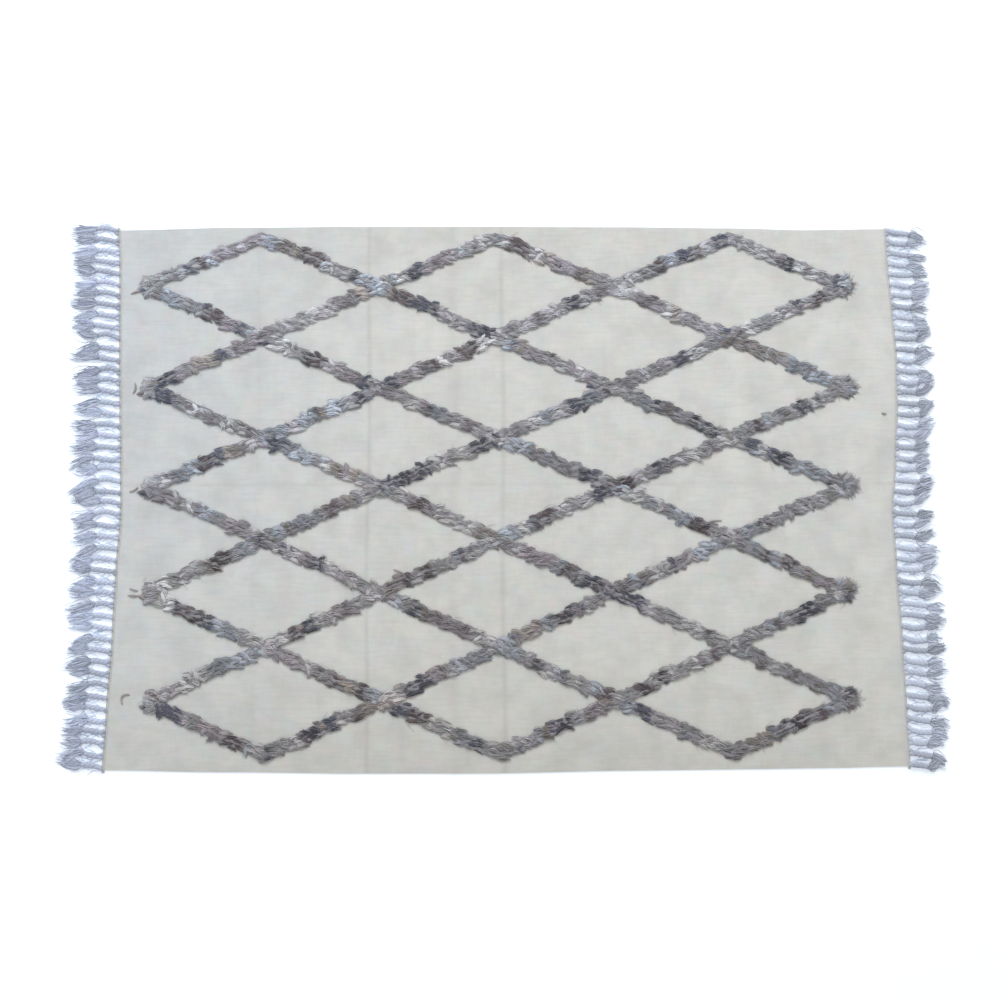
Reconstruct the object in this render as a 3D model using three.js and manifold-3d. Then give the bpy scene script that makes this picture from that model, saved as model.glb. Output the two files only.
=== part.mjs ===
// A hand-woven wool kilim rug lying flat: a cream flatweave ground, a shaggy grey lattice of diamonds
// knotted on top of it, and a knotted warp fringe along each short end.
// Units are millimetres. X runs along the warps, Y across the rug and Z up. The origin is on the
// floor, under the middle of the ground.
import * as THREE from 'three';
import { mergeVertices } from 'three/addons/utils/BufferGeometryUtils.js';
import Module from 'manifold-3d';

// Driving dimensions
const LENGTH = 2000;
const WIDTH = 1400;
const GROUND_THICK = 3;
const HEADING = { wide: 8, tall: 4 };
const CLEAR = 0.3;
const OUTLINE_STEP = 40;

const BAND = { wide: 46, tall: 10, steps: 10 };
const LATTICE_COLUMNS = 6;

const FRINGE = { strands: 49, margin: 12, rootInside: 3 };

// How many neighbouring strands lean together, bundle by bundle, repeated along each fringe.
const BUNDLES = [2, 3, 2, 1, 2, 2, 3, 2, 3, 1];

// How far each short end stands out past a straight line (+) or falls short of it (-), by height
// across the rug, and the length of the fringe there.
const ENDS = [
  { y: -700, left: 3, right: 1, leftFringe: 100, rightFringe: 84 },
  { y: -560, left: -2, right: -1, leftFringe: 104, rightFringe: 98 },
  { y: -380, left: -10, right: -4, leftFringe: 96, rightFringe: 104 },
  { y: -200, left: -14, right: -10, leftFringe: 102, rightFringe: 104 },
  { y: -60, left: -22, right: -14, leftFringe: 104, rightFringe: 100 },
  { y: 80, left: -17, right: -1, leftFringe: 112, rightFringe: 90 },
  { y: 230, left: -11, right: 10, leftFringe: 112, rightFringe: 88 },
  { y: 350, left: -6, right: 13, leftFringe: 114, rightFringe: 86 },
  { y: 480, left: -2, right: 7, leftFringe: 112, rightFringe: 90 },
  { y: 600, left: 1, right: 0, leftFringe: 110, rightFringe: 94 },
  { y: 700, left: 9, right: 0, leftFringe: 120, rightFringe: 92 },
];

// The same for the two long sides, by distance along the rug.
const SIDES = [
  { x: -1000, top: -8, bottom: -7 },
  { x: -700, top: -1, bottom: -1 },
  { x: -350, top: 2, bottom: 4 },
  { x: -50, top: 2, bottom: 5 },
  { x: 300, top: 1, bottom: 0 },
  { x: 600, top: -2, bottom: -2 },
  { x: 800, top: -7, bottom: -4 },
  { x: 1000, top: -4, bottom: -7 },
];

// The rows of lattice corners, from the far side to the near one: the height of each row across
// the rug, and where its first and last columns lie.
const LATTICE_ROWS = [
  { y: 672, left: -936, right: 884 },
  { y: 541, left: -932, right: 880 },
  { y: 405, left: -928, right: 878 },
  { y: 271, left: -923, right: 876 },
  { y: 139, left: -918, right: 873 },
  { y: 14, left: -912, right: 870 },
  { y: -121, left: -908, right: 862 },
  { y: -255, left: -905, right: 855 },
  { y: -392, left: -900, right: 852 },
  { y: -526, left: -896, right: 852 },
  { y: -657, left: -894, right: 850 },
];

// How the locks end along the two rims of a band, by the way that the band runs: how far a lock
// sticks out, and how far its end lies ahead along X.
const LOCKS = {
  rising: { lowOut: 8, lowAhead: 14, highOut: 4, highAhead: -11 },
  falling: { lowOut: 4, lowAhead: 10, highOut: 5, highAhead: 9 },
};

// The slice of a band, as shares of its half width and its height, and how uneven each is.
const SLICE = {
  shoulderOut: 0.8,
  shoulderAhead: 0.7,
  shoulderTall: 0.62,
  crownWander: 0.3,
  rimUneven: 0.5,
  shoulderUneven: 0.2,
  crownUneven: 0.18,
};

// The slow swell and fall of the pile along a band.
const SWELL = { share: 0.1, alongX: 31, alongY: 17 };

// The rounded end of a band at the first and last columns.
const BAND_ENDS = [
  { past: 9, wide: 0.84, tall: 0.85 },
  { past: 16, wide: 0.5, tall: 0.6 },
];

// One fringe strand, from its root to its tip: a plied cord, its knot and the frayed tuft.
const STRAND = [
  { at: 0.0, wide: 8, tall: 6 },
  { at: 0.32, wide: 8.5, tall: 6.5 },
  { at: 0.6, wide: 9, tall: 7 },
  { at: 0.7, wide: 15, tall: 11 },
  { at: 0.79, wide: 11, tall: 8 },
  { at: 0.91, wide: 17, tall: 8 },
  { at: 1.0, wide: 11, tall: 4 },
];
const STRAND_TOP = 0.6;
const STRAND_SPREAD = { lean: 8.4, sway: 9, swayWave: 210, uneven: 0.08 };

const wasm = await Module();
wasm.setup();

const wool = (color) => new THREE.MeshStandardMaterial({ color, roughness: 0.95, metalness: 0 });

// A repeatable value from -1 to 1 for a whole number.
function uneven(number) {
  const wave = Math.sin(number * 127.1 + 11.7) * 43758.5453;
  return 2 * (wave - Math.floor(wave)) - 1;
}

// Reads one column of a table at a place between its rows, easing from row to row.
function readTable(rows, key, place, column) {
  let next = 1;
  while (next < rows.length - 1 && rows[next][key] < place) next += 1;
  const before = rows[next - 1];
  const after = rows[next];
  const share = THREE.MathUtils.smoothstep(place, before[key], after[key]);
  return THREE.MathUtils.lerp(before[column], after[column], share);
}

const endName = (side) => (side < 0 ? 'left' : 'right');
const endX = (side, y) => side * (LENGTH / 2 + readTable(ENDS, 'y', y, endName(side)));
const topY = (x) => WIDTH / 2 + readTable(SIDES, 'x', x, 'top');
const bottomY = (x) => -WIDTH / 2 - readTable(SIDES, 'x', x, 'bottom');

// Points along one short end, from the near side to the far one, set in by a distance.
function endLine(side, inset) {
  const low = bottomY(endX(side, -WIDTH / 2));
  const high = topY(endX(side, WIDTH / 2));
  const count = Math.round((high - low) / OUTLINE_STEP);
  return Array.from({ length: count + 1 }, (_, i) => {
    const y = THREE.MathUtils.lerp(low, high, i / count);
    return new THREE.Vector2(endX(side, y) - side * inset, y);
  });
}

// Points along a long side, between but not at its two ends.
function sideLine(edgeY, from, to) {
  const count = Math.round(Math.abs(to - from) / OUTLINE_STEP);
  return Array.from({ length: count - 1 }, (_, i) => {
    const x = THREE.MathUtils.lerp(from, to, (i + 1) / count);
    return new THREE.Vector2(x, edgeY(x));
  });
}

function slab(outline, tall) {
  return new THREE.ExtrudeGeometry(new THREE.Shape(outline), { depth: tall, bevelEnabled: false });
}

// A closed skin over a row of rings that all have the same number of points.
function loft(rings) {
  const size = rings[0].length;
  const faces = [];
  for (let ring = 0; ring < rings.length - 1; ring += 1) {
    for (let i = 0; i < size; i += 1) {
      const a = ring * size + i;
      const b = ring * size + ((i + 1) % size);
      faces.push(a, b, b + size, a, b + size, a + size);
    }
  }
  const last = (rings.length - 1) * size;
  for (let i = 1; i < size - 1; i += 1) {
    faces.push(0, i + 1, i);
    faces.push(last, last + i, last + i + 1);
  }
  const geometry = new THREE.BufferGeometry().setFromPoints(rings.flat());
  geometry.setIndex(faces);
  return geometry;
}

function toSolid(geometry) {
  const bare = geometry.clone();
  bare.deleteAttribute('normal');
  bare.deleteAttribute('uv');
  const welded = mergeVertices(bare, 1e-4);
  return new wasm.Manifold(new wasm.Mesh({
    numProp: 3,
    vertProperties: new Float32Array(welded.attributes.position.array),
    triVerts: new Uint32Array(welded.index.array),
  }));
}

function toGeometry(solid) {
  const mesh = solid.getMesh();
  const geometry = new THREE.BufferGeometry();
  geometry.setAttribute('position', new THREE.BufferAttribute(mesh.vertProperties, 3));
  geometry.setIndex(new THREE.BufferAttribute(mesh.triVerts, 1));
  geometry.computeVertexNormals();
  return geometry;
}

const joined = (geometries) => toGeometry(geometries.map(toSolid).reduce((whole, next) => whole.add(next)));

// The flatweave ground: one even sheet with the drawn-in outline of hand weaving. It stops short of
// the headings that lock its two short ends.
function ground() {
  const inset = HEADING.wide + CLEAR;
  const left = endLine(-1, inset);
  const right = endLine(1, inset);
  const near = sideLine(bottomY, left[0].x, right[0].x);
  const far = sideLine(topY, right[right.length - 1].x, left[left.length - 1].x);
  return slab([...near, ...right, ...far, ...left.reverse()], GROUND_THICK);
}

// How far a strand leans towards the middle of its bundle.
function bundleLean(number) {
  let first = 0;
  let bundle = 0;
  while (first + BUNDLES[bundle % BUNDLES.length] <= number) {
    first += BUNDLES[bundle % BUNDLES.length];
    bundle += 1;
  }
  const middle = first + (BUNDLES[bundle % BUNDLES.length] - 1) / 2;
  return (middle - number) * STRAND_SPREAD.lean;
}

// One strand of fringe. It rests level on the floor, and its tip leans towards its neighbours'.
function strand(side, number) {
  const share = number / (FRINGE.strands - 1);
  const half = WIDTH / 2 - FRINGE.margin;
  const rootY = THREE.MathUtils.lerp(-half, half, share);
  const rootX = endX(side, rootY) - side * FRINGE.rootInside;
  const fringe = readTable(ENDS, 'y', rootY, `${endName(side)}Fringe`);
  const long = fringe * (1 + STRAND_SPREAD.uneven * uneven(number * 2 + side));
  const sway = STRAND_SPREAD.sway * Math.sin(rootY / STRAND_SPREAD.swayWave + side);
  const drift = bundleLean(number) + sway;
  return loft(STRAND.map(({ at, wide, tall }) => {
    const x = rootX + side * at * (long + FRINGE.rootInside);
    const y = rootY + drift * at * at;
    const out = side * wide / 2;
    return [
      new THREE.Vector3(x, y - out, 0),
      new THREE.Vector3(x, y + out, 0),
      new THREE.Vector3(x, y + out * STRAND_TOP, tall),
      new THREE.Vector3(x, y - out * STRAND_TOP, tall),
    ];
  }));
}

// A fringe: the narrow heading along the cloth's end, and the strands rooted in it.
function fringe(side) {
  const outer = endLine(side, 0);
  const inner = endLine(side, HEADING.wide);
  const outline = side > 0 ? [...outer, ...inner.reverse()] : [...inner, ...outer.reverse()];
  const strands = Array.from({ length: FRINGE.strands }, (_, number) => strand(side, number));
  return joined([slab(outline, HEADING.tall), ...strands]);
}

function latticeCorner(column, row) {
  const { y, left, right } = LATTICE_ROWS[row];
  return { x: THREE.MathUtils.lerp(left, right, column / LATTICE_COLUMNS), y };
}

// One slice across a band of pile: flat below, two shoulders and a crown above.
function pileSlice(x, y, wide, tall, locks, seed) {
  const base = GROUND_THICK + CLEAR;
  const half = wide / 2;
  const vary = (share, place) => 1 + share * uneven(seed + place);
  const low = half + locks.lowOut * vary(SLICE.rimUneven, 0);
  const high = half + locks.highOut * vary(SLICE.rimUneven, 1);
  const rim = (ahead, out) => new THREE.Vector3(x + ahead, y + out, base);
  const shoulder = (ahead, out, place) => new THREE.Vector3(
    x + ahead * SLICE.shoulderAhead,
    y + out * SLICE.shoulderOut,
    base + tall * SLICE.shoulderTall * vary(SLICE.shoulderUneven, place),
  );
  const crownY = y + half * SLICE.crownWander * uneven(seed + 4);
  return [
    rim(locks.lowAhead, -low),
    rim(locks.highAhead, high),
    shoulder(locks.highAhead, high, 5),
    new THREE.Vector3(x, crownY, base + tall * vary(SLICE.crownUneven, 2)),
    shoulder(locks.lowAhead, -low, 3),
  ];
}

// One course of pile: it zigzags along the rug between two rows of corners, as a lumpy rope with
// the ends of its locks along both rims.
function pileCourse(course) {
  const plain = { lowOut: 0, lowAhead: 0, highOut: 0, highAhead: 0 };
  const corners = Array.from({ length: LATTICE_COLUMNS + 1 }, (_, column) => (
    latticeCorner(column, (column + course) % 2 === 1 ? course : course + 1)));
  const last = corners[corners.length - 1];
  const slope = (corners[0].y - corners[1].y) / (corners[0].x - corners[1].x);
  const across = BAND.wide * Math.hypot(1, slope);
  const roundEnd = (corner, way) => BAND_ENDS.map(({ past, wide, tall }) => (
    pileSlice(corner.x + way * past, corner.y, across * wide, BAND.tall * tall, plain, course + past)));

  const slices = roundEnd(corners[0], -1).reverse();
  corners.slice(0, -1).forEach((corner, column) => {
    const next = corners[column + 1];
    const locks = next.y > corner.y ? LOCKS.rising : LOCKS.falling;
    for (let step = 0; step < BAND.steps; step += 1) {
      const share = step / BAND.steps;
      const x = THREE.MathUtils.lerp(corner.x, next.x, share);
      const y = THREE.MathUtils.lerp(corner.y, next.y, share);
      const swell = 1 + SWELL.share * Math.sin(x / SWELL.alongX + y / SWELL.alongY);
      const seed = 1000 * course + 100 * column + 7 * step;
      slices.push(pileSlice(x, y, across, BAND.tall * swell, step % 2 === 1 ? locks : plain, seed));
    }
  });
  slices.push(pileSlice(last.x, last.y, across, BAND.tall, plain, course));
  slices.push(...roundEnd(last, 1));
  return loft(slices);
}

function pile() {
  const courses = LATTICE_ROWS.slice(0, -1).map((_, course) => pileCourse(course));
  return joined(courses);
}

function piece(name, geometry, material) {
  const mesh = new THREE.Mesh(geometry, material);
  mesh.name = name;
  return mesh;
}

const rug = new THREE.Group();
const fringeWool = wool(0xa9adbd);
rug.add(piece('ground', ground(), wool(0xd6d3ca)));
rug.add(piece('pile_lattice', pile(), wool(0x77747a)));
rug.add(piece('fringe_left', fringe(-1), fringeWool));
rug.add(piece('fringe_right', fringe(1), fringeWool));

export default rug;
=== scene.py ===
# A hand-woven wool kilim rug, lying flat: a cream flatweave with a shaggy grey lattice of diamonds
# and a knotted fringe at each short end. Metres; X runs along the warps, Y across the rug, Z up.
import math
from types import SimpleNamespace

import bmesh
import bpy
import numpy as np
from mathutils import Euler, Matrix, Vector


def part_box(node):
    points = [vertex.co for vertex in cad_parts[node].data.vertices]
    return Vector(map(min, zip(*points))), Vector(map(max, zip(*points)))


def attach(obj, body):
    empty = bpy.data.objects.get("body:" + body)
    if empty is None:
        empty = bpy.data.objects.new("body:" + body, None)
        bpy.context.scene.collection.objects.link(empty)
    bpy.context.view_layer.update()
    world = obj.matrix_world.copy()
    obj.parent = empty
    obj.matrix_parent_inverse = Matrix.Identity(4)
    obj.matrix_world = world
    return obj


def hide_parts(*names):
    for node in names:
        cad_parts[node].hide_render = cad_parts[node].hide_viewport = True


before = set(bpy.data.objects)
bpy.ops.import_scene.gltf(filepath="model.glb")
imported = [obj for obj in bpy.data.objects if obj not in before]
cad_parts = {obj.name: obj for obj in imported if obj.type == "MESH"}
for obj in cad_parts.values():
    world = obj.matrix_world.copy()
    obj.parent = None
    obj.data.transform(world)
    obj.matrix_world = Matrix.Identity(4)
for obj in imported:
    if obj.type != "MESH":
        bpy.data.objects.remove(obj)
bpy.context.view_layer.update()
scene = bpy.context.scene


# Viewpoint. The rug is seen from over its near long side, almost straight down, by someone who
# holds the camera a little off level.
CAMERA_PLACE = Vector((-0.0815, -0.658, 4.016))
CAMERA_AIM = Vector((-0.017, -0.020, 0.0))
CAMERA_ROLL = math.radians(5.57)
CAMERA_LENS = 57.6

camera = bpy.data.objects.new("camera", bpy.data.cameras.new("camera"))
camera.data.lens = CAMERA_LENS
camera.location = CAMERA_PLACE
camera_turn = (CAMERA_AIM - CAMERA_PLACE).to_track_quat("-Z", "Y")
camera.rotation_euler = (camera_turn @ Euler((0, 0, CAMERA_ROLL)).to_quaternion()).to_euler()
scene.collection.objects.link(camera)
scene.camera = camera


# Ground. One weft-faced cloth of undyed hand-spun wool, about 3 mm thick. The wefts cover the warps
# and leave fine ribs along the rug; storage folds left faint soft ridges across it.
MM = 0.001
GROUND_CELLS = (180, 106)
GROUND_SWELL = 0.45 * MM
GROUND_EDGE_DROP = 0.5 * MM
RIB = 4.7 * MM
PICK = 2.3 * MM
CROSS_FOLDS = [
    {"x": -0.636, "tall": -0.3 * MM, "wide": 6 * MM, "shade": 0.25},
    {"x": -0.352, "tall": -0.8 * MM, "wide": 6 * MM, "shade": 1.0},
    {"x": -0.135, "tall": 0.9 * MM, "wide": 15 * MM, "shade": 0.55},
    {"x": -0.009, "tall": -0.8 * MM, "wide": 7 * MM, "shade": 1.0},
]
LONG_FOLD = {"y": 0.020, "tall": -0.5 * MM, "wide": 5 * MM, "shade": 0.5}
FOLD_BEND = SimpleNamespace(sway=2.5 * MM, turn=8)


def dye(red, green, blue):
    """A colour given in display values from 0 to 255, as the linear values that shaders use."""
    shares = np.array([red, green, blue]) / 255
    return (*np.where(shares > 0.04045, ((shares + 0.055) / 1.055) ** 2.4, shares / 12.92), 1.0)


class Wire:
    """A value in a material's nodes, written in sums like a number."""

    def __init__(self, finish, socket):
        self.finish = finish
        self.socket = socket

    def math(self, operation, *values):
        settings = {"operation": operation}
        made = self.finish.node("ShaderNodeMath", settings, dict(enumerate(values)))
        return Wire(self.finish, made.outputs[0])

    def operator(operation):
        return lambda self, other: self.math(operation, self, other)

    __add__ = __radd__ = operator("ADD")
    __sub__ = operator("SUBTRACT")
    __mul__ = __rmul__ = operator("MULTIPLY")
    __truediv__ = operator("DIVIDE")
    __pow__ = operator("POWER")
    __mod__ = operator("MODULO")

    def __rsub__(self, other):
        return self.math("SUBTRACT", other, self)

    def floor(self):
        return self.math("FLOOR", self)

    def sine(self):
        return self.math("SINE", self * math.pi)

    def ridge(self):
        """Half waves of height 1, one for each whole step of the value."""
        return self.sine().absolute()

    def absolute(self):
        return self.math("ABSOLUTE", self)

    def bell(self):
        """1 where the value is 0, falling softly to 0 on both sides."""
        return self.math("EXPONENT", self * self * -1.0)


class Finish:
    """A material of its own for one finish, with its nodes."""

    def __init__(self, name, roughness, sheen, diffuse_roughness):
        self.material = bpy.data.materials.new(name)
        self.material.use_nodes = True
        self.tree = self.material.node_tree
        self.surface = self.tree.nodes["Principled BSDF"]
        self.show("Roughness", roughness)
        self.show("Diffuse Roughness", diffuse_roughness)
        self.show("Specular IOR Level", 0.2)
        self.show("Sheen Weight", sheen)
        self.show("Sheen Roughness", 0.6)

    def node(self, kind, settings=None, values=None):
        made = self.tree.nodes.new(kind)
        for name, value in (settings or {}).items():
            setattr(made, name, value)
        for name, value in (values or {}).items():
            self.feed(made.inputs[name], value)
        return made

    def feed(self, socket, value):
        if isinstance(value, Wire):
            self.tree.links.new(value.socket, socket)
        else:
            socket.default_value = value

    def show(self, name, value):
        """Gives one input of the surface its value."""
        self.feed(self.surface.inputs[name], value)

    def wire(self, node, name):
        return Wire(self, node.outputs[name])

    def shifted(self, vector, x, y):
        settings = {"operation": "ADD"}
        return self.wire(self.node("ShaderNodeVectorMath", settings, {0: vector, 1: (x, y, 0.0)}), "Vector")

    def vector(self, x=0.0, y=0.0, z=0.0):
        return self.wire(self.node("ShaderNodeCombineXYZ", {}, {"X": x, "Y": y, "Z": z}), "Vector")

    def parts(self, vector):
        made = self.node("ShaderNodeSeparateXYZ", {}, {"Vector": vector})
        return [self.wire(made, name) for name in "XYZ"]

    def noise(self, vector, scale, detail=2.0, roughness=0.5):
        values = {"Vector": vector, "Scale": scale, "Detail": detail, "Roughness": roughness}
        return self.wire(self.node("ShaderNodeTexNoise", {}, values), "Fac")

    def spread(self, value, low, high):
        """The value's range from low to high, stretched to 0 to 1 and held there."""
        values = {"Value": value, "From Min": low, "From Max": high}
        return self.wire(self.node("ShaderNodeMapRange", {"clamp": True}, values), "Result")

    def mix(self, share, first, second, way="MIX"):
        settings = {"data_type": "RGBA", "blend_type": way, "clamp_factor": True}
        made = self.node("ShaderNodeMix", settings)
        self.feed(made.inputs[0], share)
        self.feed(made.inputs[6], first)
        self.feed(made.inputs[7], second)
        return Wire(self, made.outputs[2])

    def bump(self, height, distance, strength=1.0):
        values = {"Height": height, "Distance": distance, "Strength": strength}
        made = self.node("ShaderNodeBump", {}, values)
        self.show("Normal", self.wire(made, "Normal"))


def add_piece(mesh, slot, material, *nodes):
    """A finished piece: it rides on the rug's one body and stands for the named CAD nodes."""
    piece = bpy.data.objects.new(mesh.name, mesh)
    scene.collection.objects.link(piece)
    mesh.materials.append(material)
    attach(piece, "root")
    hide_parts(*nodes)
    return piece


def outline_of(node):
    """The four edges of a flat CAD piece, as functions of the place along each."""
    points = np.array([v.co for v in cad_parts[node].data.vertices])
    low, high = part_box(node)
    near_end = 0.030
    near_side = 0.014

    def edge(chosen, along, out):
        rows = points[chosen]
        rows = rows[np.argsort(rows[:, along])]
        return lambda place: np.interp(place, rows[:, along], rows[:, out])

    return SimpleNamespace(
        left=edge(points[:, 0] < low[0] + near_end, 1, 0),
        right=edge(points[:, 0] > high[0] - near_end, 1, 0),
        bottom=edge(points[:, 1] < low[1] + near_side, 0, 1),
        top=edge(points[:, 1] > high[1] - near_side, 0, 1),
    )


def ground_swell(x, y):
    """The slow rises and falls of a cloth that lies unstretched, from -2 to 2."""
    return math.sin(9 * x + 3 * y) * math.sin(11 * y - 2 * x) + math.sin(23 * x) * math.sin(19 * y)


def ground_cloth():
    """A closed sheet on the CAD piece's outline, flat below and with its folds on top."""
    edges = outline_of("ground")
    low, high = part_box("ground")
    thick = high[2] - low[2]
    sheet = bmesh.new()
    bmesh.ops.create_grid(sheet, x_segments=GROUND_CELLS[0], y_segments=GROUND_CELLS[1], size=0.5)
    lifted = bmesh.ops.extrude_face_region(sheet, geom=sheet.faces[:])["geom"]
    top = {v for v in lifted if isinstance(v, bmesh.types.BMVert)}
    for v in sheet.verts:
        along = v.co.x + 0.5
        across = v.co.y + 0.5
        x = low[0] + along * (high[0] - low[0])
        y = edges.bottom(x) * (1 - across) + edges.top(x) * across
        x = edges.left(y) * (1 - along) + edges.right(y) * along
        rim = min(along, 1 - along, across, 1 - across) == 0
        z = 0.0
        if v in top:
            bend = FOLD_BEND.sway * math.sin(FOLD_BEND.turn * y)
            folds = sum(f["tall"] * math.exp(-(((x - f["x"] - bend) / f["wide"]) ** 2)) for f in CROSS_FOLDS)
            folds += LONG_FOLD["tall"] * math.exp(-(((y - LONG_FOLD["y"]) / LONG_FOLD["wide"]) ** 2))
            swell = 0.5 * GROUND_SWELL * ground_swell(x, y)
            z = thick + swell + folds - (GROUND_EDGE_DROP if rim else 0)
        v.co = (x, y, z)
    bmesh.ops.recalc_face_normals(sheet, faces=sheet.faces[:])
    for face in sheet.faces:
        face.smooth = abs(face.normal.z) > 0.5
    for edge in sheet.edges:
        edge.smooth = edge.link_faces[0].smooth == edge.link_faces[1].smooth
    mesh = bpy.data.meshes.new("ground_cloth")
    sheet.to_mesh(mesh)
    sheet.free()
    return mesh


# What the wool of the ground shows, from the broadest to the finest. grain is how fine each blot is,
# along and across the rug or alike both ways; noise is its detail and roughness.
GROUND_DYE = dye(214, 213, 206)
GROUND_HUES = [
    {"shift": (0.0, 0.0), "grain": 19.0, "share": 0.44, "dyes": (dye(186, 207, 217), dye(225, 206, 190))},
    {"shift": (7.0, 3.0), "grain": 24.0, "share": 0.28, "dyes": (dye(193, 217, 193), dye(218, 195, 217))},
]
BANDS = [
    {"grain": (16, 0.6), "noise": (4, 0.6), "range": (0.35, 0.7), "share": 0.35, "dye": (199, 198, 193)},
]
BLOTS = [
    {"grain": 6, "noise": (3, 0.6), "range": (0.36, 0.7), "share": 0.6, "dye": (220, 219, 214)},
    {"grain": 13, "noise": (4, 0.6), "range": (0.42, 0.72), "share": 0.55, "dye": (188, 187, 183)},
    {"grain": (120, 26), "noise": (2, 0.5), "range": (0.45, 0.8), "share": 0.12, "dye": (180, 178, 172)},
    {"grain": (18, 135), "noise": (1.5, 0.5), "range": (0.42, 0.76), "share": 0.24, "dye": (184, 182, 177)},
    {"grain": (340, 190), "noise": (2, 0.7), "range": (0.66, 0.76), "share": 0.3, "dye": (156, 145, 132)},
]


def ground_blots(finish, place, base, blots):
    """The base with each of the blots laid over it."""
    x, y, _ = finish.parts(place)
    for blot in blots:
        grain = blot["grain"]
        if isinstance(grain, tuple):
            noise = finish.noise(finish.vector(x * grain[0], y * grain[1]), 1.0, *blot["noise"])
        else:
            noise = finish.noise(place, grain, *blot["noise"])
        share = finish.spread(noise, *blot["range"]) * blot["share"]
        base = finish.mix(share, base, dye(*blot["dye"]))
    return base


def ground_hues(finish, place, base):
    """The base with slow swings of colour: from cold to warm, and from green to pink."""
    for hue in GROUND_HUES:
        moved = finish.shifted(place, *hue["shift"]) if any(hue["shift"]) else place
        swing = finish.spread(finish.noise(moved, hue["grain"], 5.0, 0.75), 0.3, 0.7)
        base = finish.mix(hue["share"], base, finish.mix(swing, *hue["dyes"]))
    return base


def fold_shade(finish, x, y):
    """How much painted shade each fold lays on a place."""
    shade = 0.0
    bend = (y * FOLD_BEND.turn / math.pi).sine() * FOLD_BEND.sway
    for fold in CROSS_FOLDS:
        across = (x - fold["x"] - bend) / fold["wide"]
        shade = shade + across.bell() * fold["shade"]
    return shade + ((y - LONG_FOLD["y"]) / LONG_FOLD["wide"]).bell() * LONG_FOLD["shade"]


def ground_finish():
    finish = Finish("ground_wool", 0.93, 0.12, 0.0)
    place = finish.wire(finish.node("ShaderNodeTexCoord"), "Object")
    x, y, _ = finish.parts(place)
    wander = finish.noise(place, 7.0, 3.0)
    rib = y / RIB + wander * 3.0 + finish.noise(place, 60.0) * 0.6
    pick = x / PICK + (rib.floor() % 2) * 0.5 + finish.noise(place, 90.0) * 0.8
    weave = (rib.ridge() ** 0.7) * (0.7 + pick.ridge() * 0.3)
    lumps = finish.noise(finish.vector(x * 60, y * 300), 1.0, 3.0)
    finish.bump(weave * 0.5 + lumps * 0.8, 0.8 * MM, 0.24)

    base = ground_blots(finish, place, GROUND_DYE, BANDS)
    base = ground_hues(finish, place, base)
    base = ground_blots(finish, place, base, BLOTS)
    # Painted shade along the folds' creases, made patchy by a noise.
    mottle = finish.noise(place, 14.0, 2.0)
    base = finish.mix(fold_shade(finish, x, y) * (0.1 + mottle * 0.35), base, dye(168, 166, 162))
    # Painted shade in the grooves between the ribs.
    base = finish.mix((1 - weave) * 0.05, base, dye(152, 150, 145))

    # A flat lift of the whole colour, then painted shade and painted light, each from where it starts
    # to where it is fullest, in metres: darker in the middle, towards the long sides and at the ends,
    # and a painted cool tint of light towards the far left and a warm one towards the near side.
    middle_shade = finish.spread(x.absolute(), 1.0, 0.3)
    side_shade = finish.spread(y.absolute(), 0.4, 0.7) * (middle_shade * 0.5 + 0.5)
    end_shade = finish.spread(x.absolute(), 1.0, 1.03)
    cool = finish.spread(x * -1, 0.2, 0.95) * finish.spread(y, -1.9, 0.6)
    warm = finish.spread(y * -1, 0.1, 0.7)
    painted_tints = [
        (1.0, dye(258, 259, 259)),
        (middle_shade, dye(252, 252, 252)),
        (side_shade, dye(247, 247, 247)),
        (end_shade, dye(250, 250, 249)),
        (cool, dye(245, 249, 256)),
        (warm, dye(255, 254, 251)),
    ]
    for share, tint in painted_tints:
        base = finish.mix(share, base, tint, "MULTIPLY")
    finish.show("Base Color", base)
    return finish.material


ground = add_piece(ground_cloth(), "ground_wool", ground_finish(), "ground")


# Yarn. Every lock, strand, knot and tuft is yarn, so one closed tube is drawn once and laid along
# each yarn's own route; the copies of one piece are then a single mesh.
def tube_pattern(sides, rings):
    """One straight tube, closed at both ends, as arrays that its copies are made from."""
    tube = bmesh.new()
    bmesh.ops.create_circle(tube, cap_ends=True, radius=1, segments=sides)
    rim = tube.edges[:]
    for _ in range(rings - 1):
        grown = bmesh.ops.extrude_edge_only(tube, edges=rim)["geom"]
        verts = [g for g in grown if isinstance(g, bmesh.types.BMVert)]
        bmesh.ops.translate(tube, verts=verts, vec=(0, 0, 1))
        rim = [g for g in grown if isinstance(g, bmesh.types.BMEdge) and g.is_boundary]
    bmesh.ops.edgeloop_fill(tube, edges=rim)
    bmesh.ops.recalc_face_normals(tube, faces=tube.faces[:])
    places = np.array([v.co for v in tube.verts])
    around = np.round(np.arctan2(places[:, 1], places[:, 0]) / (2 * math.pi) * sides) % sides / sides
    faces = [[v.index for v in face.verts] for face in tube.faces]
    tube.free()
    turns = [around[f] for f in faces]
    turns = [np.where((t < 0.5) & (np.ptp(t) > 0.5), t + 1, t) for t in turns]
    return SimpleNamespace(
        cos=np.cos(around * 2 * math.pi),
        sin=np.sin(around * 2 * math.pi),
        ring=np.round(places[:, 2]).astype(int),
        rings=rings,
        corners=np.concatenate(faces),
        corner_turns=np.concatenate(turns),
        face_sizes=np.array([len(f) for f in faces]),
    )


def profile(place, stops):
    """What the stops, pairs of a place and a value, say at other places between them."""
    return np.interp(place, *zip(*stops))


def line(x, y, z):
    return np.stack([x, y, z], axis=-1)


def unit(vectors):
    return vectors / np.maximum(np.linalg.norm(vectors, axis=-1, keepdims=True), 1e-9)


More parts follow.
